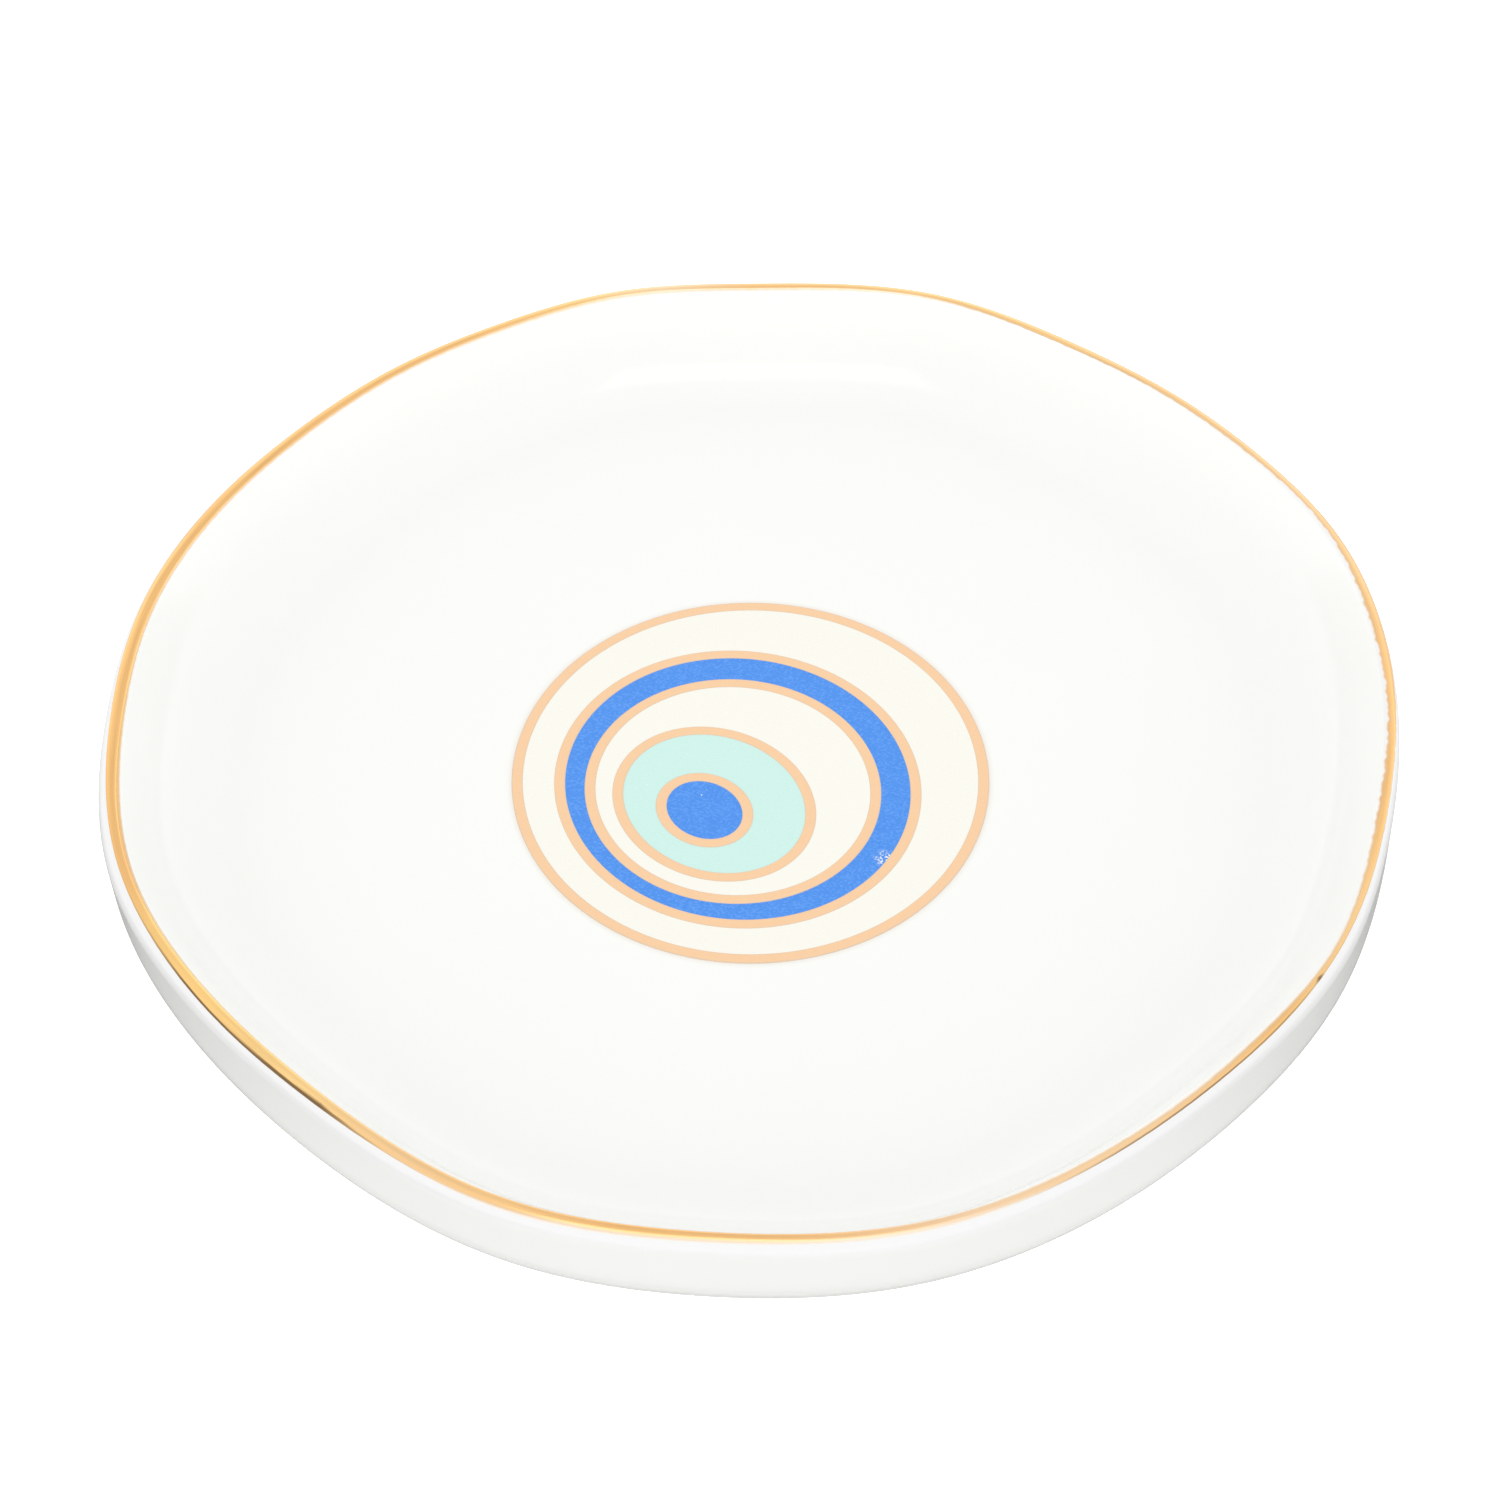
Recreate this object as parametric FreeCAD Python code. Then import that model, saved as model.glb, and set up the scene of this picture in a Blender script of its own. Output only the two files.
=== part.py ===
"""A shallow porcelain ring dish with a softly cornered rim, a gold line on its lip and a printed eye.

Z is up, and the origin is on the table under the middle of the dish. The eye is printed on the floor and
looks towards -X and -Y. Sizes are in millimetres and angles in degrees.
"""
import FreeCAD
import Part
import math
import os
from collections import namedtuple

# Porcelain: sizes of the glazed dish
dish_height = 12.1              # table to the crest of the lip
rim_radius = 56.4               # mean radius of the lip's crest
lip_round = 1.4                 # outside of the lip, from its crest to the wall
lip_edge_round = 0.35           # inner edge of the lip, from its crest to the well
outer_lean = 1.0                # outside of the wall, off upright, wider at the lip
inner_lean = 32.5               # inside of the wall, off upright, wider at the lip
well_round = 8.5                # hollow corner between the wall and the floor
heel_round = 5.8                # corner between the wall and the underside
base_thickness = 3.2            # floor of the well to the underside
foot_height = 1.2               # underside to the table
foot_inset = 15.0               # lip's crest to the outside of the foot ring
foot_width = 3.4
foot_root_round = 0.45          # hollow corner where the foot ring meets the underside
tread_round = 0.35              # edges of the foot ring on the table

# Share of the rim's soft corners that is left lower down
heel_wave_share = 0.5
even_share = 0.0
full_share = 1.0

# Radius of the lip's crest round the dish, at the soft corners and on the flatter runs between them
rim_outline_shares = (
    (0, 0.997), (11, 1.012), (22, 1.022), (34, 1.013), (46, 1.007), (57, 1.005), (72, 1.018), (90, 0.996),
    (104, 1.004), (115, 0.994), (128, 0.990), (140, 0.987), (153, 0.995), (167, 1.002), (180, 1.000),
    (199, 1.010), (213, 0.993), (228, 0.980), (238, 0.988), (249, 1.000), (266, 0.995), (284, 1.004),
    (299, 0.990), (314, 0.979), (331, 0.989), (345, 0.985),
)

# Coats
glaze_thickness = 0.25
glaze_stop = 0.45               # bare height of the foot ring above the table
gold_thickness = 0.06
gold_outside = 0.8              # along the lip, from its crest outwards
gold_inside = 0.05              # down the wall of the well, from the end of the lip's inner edge
print_thickness = 0.06

# Printed eye
print_radius = 21.05            # middle of the outermost outline
line_width = 1.02
print_x = -0.27                 # middle of the outermost outline, from the middle of the dish
print_y = -1.47
gaze_angle = 225.0              # the ovals are shifted this way, and are narrower along it

# Half length of each oval along the gaze and across it, and its shift along the gaze
oval_shares = {
    "blue_ring_outer_outline": (0.746, 0.779, 0.078),
    "blue_ring_inner_outline": (0.602, 0.620, 0.107),
    "iris_outline": (0.380, 0.441, 0.220),
    "pupil_outline": (0.171, 0.198, 0.277),
}

# Values worked out from the sizes
floor_level = foot_height + base_thickness
well_depth = dish_height - floor_level
foot_outside = rim_radius - foot_inset
foot_inside = foot_outside - foot_width
foot_root_fit = min(foot_root_round, foot_height - glaze_stop)
tread_fit = min(tread_round, glaze_stop)
touching = 1e-6                 # points closer than this are one point

# A corner of the dish's section: mean distance from the axis, share of the rim's waviness, height and round
Corner = namedtuple("Corner", "reach wave level round")

# A row of control points round the dish, with the weight that bends a span into a true arc
Row = namedtuple("Row", "reach wave level weight")


def closed_curve(radii):
    """Return a smooth closed curve through a radius at each angle of the rim's outline."""
    angles = [angle for angle, share in rim_outline_shares]
    points = []
    for angle, radius in zip(angles, radii):
        turn = math.radians(angle)
        points.append(FreeCAD.Vector(radius * math.cos(turn), radius * math.sin(turn), 0))
    curve = Part.BSplineCurve()
    curve.interpolate(Points=points, PeriodicFlag=True, Parameters=angles + [360])
    return curve


unit_circle = closed_curve([1 for angle, share in rim_outline_shares])
unit_wave = closed_curve([share - 1 for angle, share in rim_outline_shares])


def ring_poles(row):
    """Return the control points of one row: an even circle plus the row's share of the rim's waviness."""
    lift = FreeCAD.Vector(0, 0, row.level)
    pairs = zip(unit_circle.getPoles(), unit_wave.getPoles())
    return [even * row.reach + wavy * (row.wave * rim_radius) + lift for even, wavy in pairs]


def ring_wire(row):
    """Return the closed wire along one row."""
    curve = Part.BSplineCurve()
    mults = unit_circle.getMultiplicities()
    curve.buildFromPolesMultsKnots(ring_poles(row), mults, unit_circle.getKnots(), True, unit_circle.Degree)
    return Part.Wire([curve.toShape()])


def flat_disc(row):
    """Return the flat face inside one row."""
    return Part.Face(ring_wire(row))


def flat_ring(row_a, row_b):
    """Return the flat face between two rows at one height."""
    return Part.makeFace([ring_wire(row_a), ring_wire(row_b)], "Part::FaceMakerBullseye")


def band(span):
    """Return the face that a span sweeps round the dish: two rows are straight, three are an arc."""
    if len(span) == 2 and abs(span[0].level - span[1].level) < touching:
        return flat_ring(*span)
    degree = len(span) - 1
    poles = list(zip(*[ring_poles(row) for row in span]))
    weights = [[row.weight for row in span]] * len(poles)
    ends = [len(span), len(span)]
    surface = Part.BSplineSurface()
    surface.buildFromPolesMultsKnots(
        poles, unit_circle.getMultiplicities(), ends, unit_circle.getKnots(), [0, 1], True, False,
        unit_circle.Degree, degree, weights)
    return surface.toShape()


def direction(start, end):
    """Return the unit vector of the section from one corner to another, and their distance."""
    run = FreeCAD.Vector(end.reach - start.reach, end.level - start.level, 0)
    return run / run.Length, run.Length


def half_turn(before, corner, after):
    """Return half the angle by which the section turns at a corner, in radians."""
    into, _ = direction(before, corner)
    out, _ = direction(corner, after)
    return into.getAngle(out) / 2


def between(start, end, distance):
    """Return the row at a distance from one corner towards another."""
    _, length = direction(start, end)
    share = distance / length
    values = [a + (b - a) * share for a, b in zip(start[:3], end[:3])]
    return Row(*values, 1)


def spans(corners):
    """Return the straight and round spans of a section, from its first corner to its last."""
    found = []
    last = Row(*corners[0][:3], 1)
    for before, corner, after in zip(corners, corners[1:], corners[2:]):
        half = half_turn(before, corner, after)
        cut = corner.round * math.tan(half)
        start = between(corner, before, cut)
        end = between(corner, after, cut)
        if abs(start.reach - last.reach) + abs(start.level - last.level) > touching:
            found.append([last, start])
        if cut > 0:
            found.append([start, Row(*corner[:3], math.cos(half)), end])
        last = end
    found.append([last, Row(*corners[-1][:3], 1)])
    return found


def beside(corners, distance):
    """Return the section that runs beside another one, to its left if the distance is above zero."""
    runs = [direction(a, b)[0] for a, b in zip(corners, corners[1:])]
    lefts = [FreeCAD.Vector(-run.y, run.x, 0) for run in runs]
    moved = []
    for place, corner in enumerate(corners):
        left = lefts[max(place - 1, 0)]
        right = lefts[min(place, len(lefts) - 1)]
        step = (left + right) * (distance / (1 + left.dot(right)))
        turn = left.cross(right).z
        change = distance * math.copysign(1, turn) if corner.round > 0 else 0
        round_fit = max(corner.round - change, 0)
        moved.append(Corner(corner.reach + step.x, corner.wave, corner.level + step.y, round_fit))
    return moved


def solid(faces):
    """Return the closed solid that a set of faces bounds."""
    shell = Part.makeShell(faces)
    shell.sewShape()
    made = Part.makeSolid(shell)
    if made.Volume < 0:
        made.reverse()
    return made


def outer_section():
    """Return the glazed section: up the foot, the heel and the wall, over the lip and in to the axis."""
    outer = math.radians(outer_lean)
    inner = math.radians(inner_lean)
    square = math.radians(90)
    lip_outer_cut = lip_round * math.tan((square + outer) / 2)
    lip_inner_cut = lip_edge_round * math.tan((square - inner) / 2)
    lip_outside = rim_radius + lip_outer_cut
    lip_inside = rim_radius - lip_inner_cut
    wall_height = dish_height - foot_height
    heel_outside = lip_outside - wall_height * math.tan(outer)
    heel_room = wall_height / math.cos(outer) - lip_outer_cut
    heel_fit = min(heel_round, heel_room / math.tan((square - outer) / 2))
    well_inside = lip_inside - well_depth * math.tan(inner)
    well_room = well_depth / math.cos(inner) - lip_inner_cut
    well_fit = min(well_round, well_room / math.tan((square - inner) / 2))
    lip_base = dish_height - lip_outer_cut * math.cos(outer)
    return [
        Corner(foot_outside, even_share, glaze_stop, 0),
        Corner(foot_outside, even_share, foot_height, foot_root_fit),
        Corner(heel_outside, heel_wave_share, foot_height, heel_fit),
        Corner(lip_outside - lip_outer_cut * math.sin(outer), full_share, lip_base, 0),
        Corner(lip_outside, full_share, dish_height, lip_round),
        Corner(lip_inside, full_share, dish_height, lip_edge_round),
        Corner(well_inside, full_share, floor_level, well_fit),
        Corner(0, full_share, floor_level, 0),
    ]


def base_section():
    """Return the glazed section inside the foot ring: up the foot and in along the underside."""
    return [
        Corner(foot_inside, even_share, glaze_stop, 0),
        Corner(foot_inside, even_share, foot_height, foot_root_fit),
        Corner(0, even_share, foot_height, 0),
    ]


def skin(section):
    """Return the faces of a section, with a flat disc in place of its last run to the axis."""
    parts = spans(section)
    faces = [band(span) for span in parts[:-1]]
    faces.append(flat_disc(parts[-1][0]))
    return faces


def coat(section, thickness):
    """Return a coat of glaze between a glazed section and the porcelain beside it."""
    under = beside(section, thickness)
    edge = [Row(*section[0][:3], 1), Row(*under[0][:3], 1)]
    return solid(skin(section) + skin(under) + [band(edge)])


def porcelain_body():
    """Return the fired porcelain under the glaze, with the bare foot ring that it stands on."""
    outer = beside(outer_section(), glaze_thickness)
    inner = beside(base_section(), -glaze_thickness)
    foot = [
        outer[0],
        Corner(outer[0].reach, even_share, 0, tread_fit),
        Corner(inner[0].reach, even_share, 0, tread_fit),
        inner[0],
    ]
    return solid(skin(outer) + skin(inner) + [band(span) for span in spans(foot)])


def gold_rim_line():
    """Return the gold line, a thin strip bent over the lip from its outside to the top of the well."""
    lip_inside, well_inside = outer_section()[-3:-1]
    turn = gold_outside / lip_round
    outer_cut = lip_round * math.tan(turn / 2)
    outer_reach = rim_radius + lip_round * math.sin(turn)
    outer_level = dish_height - lip_round + lip_round * math.cos(turn)
    crest = Corner(rim_radius, full_share, dish_height, 0)
    inner_cut = lip_edge_round * math.tan(half_turn(crest, lip_inside, well_inside))
    inner_end = between(lip_inside, well_inside, inner_cut + gold_inside)
    under = [
        Corner(outer_reach, full_share, outer_level, 0),
        Corner(rim_radius + outer_cut, full_share, dish_height, lip_round),
        lip_inside,
        Corner(*inner_end[:3], 0),
    ]
    over = beside(under, -gold_thickness)
    edges = [[Row(*below[:3], 1), Row(*above[:3], 1)] for below, above in zip(under[::3], over[::3])]
    return solid([band(span) for span in spans(under) + spans(over) + edges])


def oval_wire(along, across, shift):
    """Return an oval on the floor, by its half lengths along and across the gaze and its shift."""
    gaze = FreeCAD.Vector(math.cos(math.radians(gaze_angle)), math.sin(math.radians(gaze_angle)), 0)
    side = FreeCAD.Vector(-gaze.y, gaze.x, 0)
    centre = FreeCAD.Vector(print_x, print_y, floor_level) + gaze * shift
    if abs(along - across) < touching:
        return Part.Wire([Part.Circle(centre, FreeCAD.Vector(0, 0, 1), along).toShape()])
    return Part.Wire([Part.Ellipse(centre + side * across, centre + gaze * along, centre).toShape()])


def printed_area(outside, inside=None):
    """Return a thin printed area inside one oval, outside another one if it is given."""
    wires = [oval_wire(*outside)]
    if inside:
        wires.append(oval_wire(*inside))
    face = Part.makeFace(wires, "Part::FaceMakerBullseye")
    return face.extrude(FreeCAD.Vector(0, 0, print_thickness))


def printed_eye():
    """Return the outlines and the fields of the printed eye, which lie side by side."""
    middles = {"outer_outline": (print_radius, print_radius, 0)}
    for name, shares in oval_shares.items():
        middles[name] = tuple(print_radius * share for share in shares)
    half = line_width / 2
    outsides = [(along + half, across + half, shift) for along, across, shift in middles.values()]
    insides = [(along - half, across - half, shift) for along, across, shift in middles.values()]
    fields = ["outer_cream_field", "blue_ring", "inner_cream_field", "aqua_iris", "blue_pupil"]
    printed = {}
    for name, outside, inside in zip(middles, outsides, insides):
        printed[name] = printed_area(outside, inside)
    for name, outside, inside in zip(fields, insides, outsides[1:] + [None]):
        printed[name] = printed_area(outside, inside)
    return printed


pieces = {
    "porcelain_body": porcelain_body(),
    "glaze_coat": coat(outer_section(), glaze_thickness),
    "base_glaze": coat(base_section(), -glaze_thickness),
    "gold_rim_line": gold_rim_line(),
}
pieces.update(printed_eye())

os.makedirs("parts", exist_ok=True)
for node, shape in pieces.items():
    print(node, shape.ShapeType, "valid" if shape.isValid() else "not valid", round(shape.Volume, 2))
    shape.exportStep("parts/" + node + ".step")
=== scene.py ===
"""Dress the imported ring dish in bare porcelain, white glaze, brushed gold and printed enamel.

Lengths are metres, Z is up and the origin is on the table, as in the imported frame. The camera looks along
+Y from above, the printed eye looks towards -X and -Y, and a plain white studio surrounds the dish.
"""
import logging
import math
from collections.abc import Iterable, Sequence
from dataclasses import dataclass
from enum import Enum

import bpy
import numpy as np
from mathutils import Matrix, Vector


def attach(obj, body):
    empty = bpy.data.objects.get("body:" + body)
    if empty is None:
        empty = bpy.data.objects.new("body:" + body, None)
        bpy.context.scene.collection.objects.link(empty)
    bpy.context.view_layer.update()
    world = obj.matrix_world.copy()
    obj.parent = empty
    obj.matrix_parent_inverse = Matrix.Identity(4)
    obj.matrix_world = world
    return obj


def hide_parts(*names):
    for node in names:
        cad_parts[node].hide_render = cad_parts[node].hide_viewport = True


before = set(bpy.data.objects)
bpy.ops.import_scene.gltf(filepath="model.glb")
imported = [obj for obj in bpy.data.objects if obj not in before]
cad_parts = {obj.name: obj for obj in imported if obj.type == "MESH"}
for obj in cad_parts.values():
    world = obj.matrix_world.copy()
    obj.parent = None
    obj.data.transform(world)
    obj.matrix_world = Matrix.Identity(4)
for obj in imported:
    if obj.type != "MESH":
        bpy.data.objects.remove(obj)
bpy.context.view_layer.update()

LOG = logging.getLogger("ring_dish")
MM = 0.001
FULL_TURN = 360.0
FLOOR_LEVEL = 4.4 * MM
EYE_MIDDLE = (-0.27 * MM, -1.47 * MM)
MERGE_GAP = 0.0001 * MM
WHITE = (1.0, 1.0, 1.0, 1.0)
Socket = bpy.types.NodeSocket
Tint = tuple[float, float, float]
Place = tuple[float, float, float]
Limits = tuple[float, float]
Table = tuple[tuple[float, ...], ...]


class Ends(Enum):
    """How the rings of a loft are closed."""

    POLE = "the first ring stays open and the last one is drawn together into a point"
    JOINED = "the last ring meets the first one"
    CAPPED = "the first and the last ring are filled"


class Backing(Enum):
    """On which side of a coat's faces the porcelain lies, as the offset of the coat's thickness."""

    BEHIND = -1.0
    IN_FRONT = 1.0


class Ink(Enum):
    """The printed enamels."""

    TAN = "outline_enamel"
    CREAM = "cream_enamel"
    BLUE = "blue_enamel"
    AQUA = "aqua_enamel"


# Curves and rows


@dataclass(frozen=True)
class RoundCurve:
    """A smooth closed curve through values that are given at angles round the dish.

    Attributes:
        angles: Angles in degrees, rising, within one turn.
        values: One row of values for each angle.
    """

    angles: np.ndarray
    values: np.ndarray

    @classmethod
    def through(cls, table: Table) -> "RoundCurve":
        """Return the curve through the rows of a table, each an angle and its values."""
        rows = np.array(table, float)
        return cls(rows[:, 0], rows[:, 1:])

    def at(self, degrees: np.ndarray) -> np.ndarray:
        """Read the curve.

        Args:
            degrees: Angles to read it at.

        Returns:
            One row of values for each angle.
        """
        steps = np.diff(np.append(self.angles, self.angles[0] + FULL_TURN))[:, None]
        rises = (np.roll(self.values, -1, axis=0) - self.values) / steps
        count = len(steps)
        place = np.arange(count)
        matrix = np.zeros((count, count))
        matrix[place, place] = 2.0 * (steps + np.roll(steps, 1))[:, 0]
        matrix[place, (place + 1) % count] = steps[:, 0]
        matrix[place, place - 1] = np.roll(steps, 1)[:, 0]
        bends = np.linalg.solve(matrix, 6.0 * (rises - np.roll(rises, 1, axis=0)))
        turned = (degrees - self.angles[0]) % FULL_TURN + self.angles[0]
        left = np.searchsorted(self.angles, turned, side="right") - 1
        right = (left + 1) % count
        step = steps[left]
        near = (turned - self.angles[left])[:, None]
        far = step - near
        curved = (bends[left] * far**3 + bends[right] * near**3) / (6.0 * step)
        from_left = (self.values[left] / step - bends[left] * step / 6.0) * far
        from_right = (self.values[right] / step - bends[right] * step / 6.0) * near
        return curved + from_left + from_right


def straight_between(table: Table, degrees: np.ndarray) -> np.ndarray:
    """Read a table that is given at angles round the dish, straight from row to row.

    Args:
        table: Rows of an angle and its values.
        degrees: Angles to read it at.

    Returns:
        One row for each value, with a value for each angle.
    """
    angles, *columns = np.array(table, float).T
    return np.array([np.interp(degrees, angles, column, period=FULL_TURN) for column in columns])


@dataclass(frozen=True)
class Corner:
    """A corner of the dish's section, before it is rounded.

    Attributes:
        reach: Mean distance from the axis.
        wave: Share of the rim's waviness.
        level: Height above the table.
        round: Radius of the corner, or zero where the section ends or runs on straight.
    """

    reach: float
    wave: float
    level: float
    round: float = 0.0

    def place(self) -> np.ndarray:
        """Return reach, wave and level as one row."""
        return np.array([self.reach, self.wave, self.level])


LONG_RUN = 3.0  # supports above which a straight run gets rows of its own
SAME_ROW = 0.01  # supports below which two rows are one
LEAST_FACETS = 3  # facets of the smallest arc


def arc_rows(
    start: np.ndarray, corner: np.ndarray, end: np.ndarray, half_turn: float, steps: int
) -> np.ndarray:
    """Round a corner with a true arc.

    Args:
        start: Row where the arc leaves the run before the corner.
        corner: Row of the corner itself.
        end: Row where the arc meets the run after the corner.
        half_turn: Half the angle that the section turns by.
        steps: Number of facets along the arc.

    Returns:
        The rows along the arc, both ends included.
    """
    share = np.linspace(0.0, 1.0, steps + 1)[:, None]
    weights = [(1.0 - share) ** 2, 2.0 * share * (1.0 - share) * math.cos(half_turn), share**2]
    total = sum(weights)
    return sum(weight * row for weight, row in zip(weights, (start, corner, end))) / total


def rounded_rows(corners: Sequence[Corner], facet: float, support: float) -> np.ndarray:
    """Turn a section's corners into the rows of a loft.

    Args:
        corners: The corners in order. The first and the last one are the ends.
        facet: Largest turn between two rows of an arc, in radians.
        support: Distance from an arc at which a straight run gets a row that keeps its shading flat.

    Returns:
        One row of reach, wave and level for each ring.
    """
    rows = [corners[0].place()[None]]
    for before, corner, after in zip(corners, corners[1:], corners[2:]):
        runs = [near.place() - corner.place() for near in (before, after)]
        lengths = [math.hypot(run[0], run[2]) for run in runs]
        cosine = (runs[0][0] * runs[1][0] + runs[0][2] * runs[1][2]) / (lengths[0] * lengths[1])
        turn = math.pi - math.acos(max(cosine, -1.0))
        cut = corner.round * math.tan(turn / 2.0)
        start, end = (corner.place() + run * (cut / length) for run, length in zip(runs, lengths))
        last = rows[-1][-1]
        gap = math.hypot(start[0] - last[0], start[2] - last[2])
        if gap > LONG_RUN * support:
            rows.append(last + (start - last) * np.array([[support / gap], [0.5], [1.0 - support / gap]]))
        arc = start[None]
        if corner.round:
            facets = max(LEAST_FACETS, math.ceil(turn / facet))
            arc = arc_rows(start, corner.place(), end, turn / 2.0, facets)
        rows.append(arc if gap > SAME_ROW * support else arc[1:])
    return np.vstack(rows)


@dataclass(frozen=True)
class DishForm:
    """Driving sizes of the glazed dish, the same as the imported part's.

    Only the rim is drawn in, by a hundredth of a millimetre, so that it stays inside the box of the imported
    mesh.

    Attributes:
        heel_wave: Share of the rim's waviness that the heel has.
        rim_shares: Angle round the dish, and the rim's reach there as a share of its radius.
    """

    height: float = 12.1 * MM
    rim_radius: float = 56.39 * MM
    lip_round: float = 1.4 * MM
    lip_edge_round: float = 0.35 * MM
    outer_lean: float = math.radians(1.0)
    inner_lean: float = math.radians(32.5)
    well_round: float = 8.5 * MM
    heel_round: float = 5.8 * MM
    floor_level: float = FLOOR_LEVEL
    foot_height: float = 1.2 * MM
    foot_outside: float = 41.4 * MM
    foot_inside: float = 38.0 * MM
    foot_root_round: float = 0.45 * MM
    glaze_stop: float = 0.45 * MM
    glaze_thickness: float = 0.25 * MM
    heel_wave: float = 0.5
    rim_shares: Table = (
        (0, 0.997), (11, 1.012), (22, 1.022), (34, 1.013), (46, 1.007), (57, 1.005), (72, 1.018),
        (90, 0.996), (104, 1.004), (115, 0.994), (128, 0.990), (140, 0.987), (153, 0.995), (167, 1.002),
        (180, 1.000), (199, 1.010), (213, 0.993), (228, 0.980), (238, 0.988), (249, 1.000), (266, 0.995),
        (284, 1.004), (299, 0.990), (314, 0.979), (331, 0.989), (345, 0.985),
    )

    def wall_corners(self) -> list[Corner]:
        """Find the section of the coat outside the foot ring.

        Returns:
            Its corners up the foot, under the heel, up the wall, over the lip and down to the floor.
        """
        outer_cut = self.lip_round * math.tan((math.pi / 2.0 + self.outer_lean) / 2.0)
        inner_cut = self.lip_edge_round * math.tan((math.pi / 2.0 - self.inner_lean) / 2.0)
        lip_outside = self.rim_radius + outer_cut
        lip_inside = self.rim_radius - inner_cut
        heel_outside = lip_outside - (self.height - self.foot_height) * math.tan(self.outer_lean)
        well_inside = lip_inside - (self.height - self.floor_level) * math.tan(self.inner_lean)
        lip_base = lip_outside - outer_cut * math.sin(self.outer_lean)
        return [
            Corner(self.foot_outside, 0.0, self.glaze_stop),
            Corner(self.foot_outside, 0.0, self.foot_height, self.foot_root_round),
            Corner(heel_outside, self.heel_wave, self.foot_height, self.heel_round),
            Corner(lip_base, 1.0, self.height - outer_cut * math.cos(self.outer_lean)),
            Corner(lip_outside, 1.0, self.height, self.lip_round),
            Corner(lip_inside, 1.0, self.height, self.lip_edge_round),
            Corner(well_inside, 1.0, self.floor_level, self.well_round),
            Corner(0.0, 1.0, self.floor_level),
        ]

    def base_corners(self) -> list[Corner]:
        """Find the section of the coat inside the foot ring.

        Returns:
            Its corners up the inside of the foot ring and in along the underside.
        """
        return [
            Corner(self.foot_inside, 0.0, self.glaze_stop),
            Corner(self.foot_inside, 0.0, self.foot_height, self.foot_root_round),
            Corner(0.0, 0.0, self.foot_height),
        ]

    def lip_places(self, along: np.ndarray, lift: np.ndarray) -> tuple[np.ndarray, np.ndarray]:
        """Find places on the lip or a little off it.

        Args:
            along: Distance along the section from the lip's crest, above zero on the outside.
            lift: Distance off the glaze.

        Returns:
            The mean reach and the level of each place.
        """
        below = np.minimum(along + self.lip_edge_round * (math.pi / 2.0 - self.inner_lean), 0.0)
        radius = np.where(along < 0.0, self.lip_edge_round, self.lip_round)
        turn = (along - below) / radius
        reach = self.rim_radius + (radius + lift) * np.sin(turn) + below * math.sin(self.inner_lean)
        level = self.height - radius + (radius + lift) * np.cos(turn) + below * math.cos(self.inner_lean)
        return reach, level

    def wave_at(self, degrees: np.ndarray) -> np.ndarray:
        """Read how far the rim departs from an even circle.

        Args:
            degrees: Angles round the dish.

        Returns:
            One offset in X and Y for each angle.
        """
        angles = np.array([angle for angle, _ in self.rim_shares], float)
        steps = np.array([share - 1.0 for _, share in self.rim_shares]) * self.rim_radius
        turns = np.radians(angles)
        offsets = np.stack([steps * np.cos(turns), steps * np.sin(turns)], axis=1)
        return RoundCurve(angles, offsets).at(degrees)


# Modelling


@dataclass(frozen=True)
class Ring:
    """One ring of a loft.

    Attributes:
        along: Half length along X.
        across: Half length along Y.
        shift: Place of its middle along X.
        level: Height above the table.
    """

    along: float
    across: float
    shift: float
    level: float


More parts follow.
